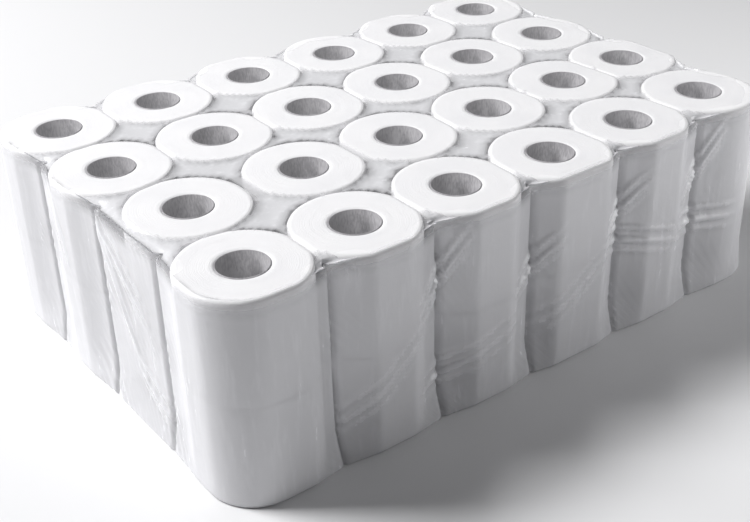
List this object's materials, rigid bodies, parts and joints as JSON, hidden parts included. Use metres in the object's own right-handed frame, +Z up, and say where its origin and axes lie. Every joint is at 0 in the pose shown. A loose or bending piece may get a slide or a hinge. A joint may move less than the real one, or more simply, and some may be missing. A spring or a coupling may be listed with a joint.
{
  "type": "toilet paper roll pack",
  "caption": "Bale of soft paper rolls standing on end in layers, pressed together in a tight clear film wrap.",
  "frame": {"origin": "centre of the bottom of the bale, on the surface it stands on", "axes": "+Z up along the rolls' tubes, +X along the bale's long side, +Y across it"},
  "size_m": [0.6356, 0.4376, 0.1926],
  "materials": {
    "paper": "matte",
    "cardboard": "matte",
    "clear_film": "gloss"
  },
  "bodies": {
    "root": {"film_wrap": "clear_film", "lower_cores_row1": "cardboard", "lower_roll_row1_no1": "paper", "lower_roll_row1_no2": "paper", "lower_roll_row1_no3": "paper", "lower_roll_row1_no4": "paper", "lower_roll_row1_no5": "paper", "lower_roll_row1_no6": "paper", "lower_cores_row2": "cardboard", "lower_roll_row2_no1": "paper", "lower_roll_row2_no2": "paper", "lower_roll_row2_no3": "paper", "lower_roll_row2_no4": "paper", "lower_roll_row2_no5": "paper", "lower_roll_row2_no6": "paper", "lower_cores_row3": "cardboard", "lower_roll_row3_no1": "paper", "lower_roll_row3_no2": "paper", "lower_roll_row3_no3": "paper", "lower_roll_row3_no4": "paper", "lower_roll_row3_no5": "paper", "lower_roll_row3_no6": "paper", "lower_cores_row4": "cardboard", "lower_roll_row4_no1": "paper", "lower_roll_row4_no2": "paper", "lower_roll_row4_no3": "paper", "lower_roll_row4_no4": "paper", "lower_roll_row4_no5": "paper", "lower_roll_row4_no6": "paper", "upper_cores_row1": "cardboard", "upper_roll_row1_no1": "paper", "upper_roll_row1_no2": "paper", "upper_roll_row1_no3": "paper", "upper_roll_row1_no4": "paper", "upper_roll_row1_no5": "paper", "upper_roll_row1_no6": "paper", "upper_cores_row2": "cardboard", "upper_roll_row2_no1": "paper", "upper_roll_row2_no2": "paper", "upper_roll_row2_no3": "paper", "upper_roll_row2_no4": "paper", "upper_roll_row2_no5": "paper", "upper_roll_row2_no6": "paper", "upper_cores_row3": "cardboard", "upper_roll_row3_no1": "paper", "upper_roll_row3_no2": "paper", "upper_roll_row3_no3": "paper", "upper_roll_row3_no4": "paper", "upper_roll_row3_no5": "paper", "upper_roll_row3_no6": "paper", "upper_cores_row4": "cardboard", "upper_roll_row4_no1": "paper", "upper_roll_row4_no2": "paper", "upper_roll_row4_no3": "paper", "upper_roll_row4_no4": "paper", "upper_roll_row4_no5": "paper", "upper_roll_row4_no6": "paper"}
  },
  "joints": []
}
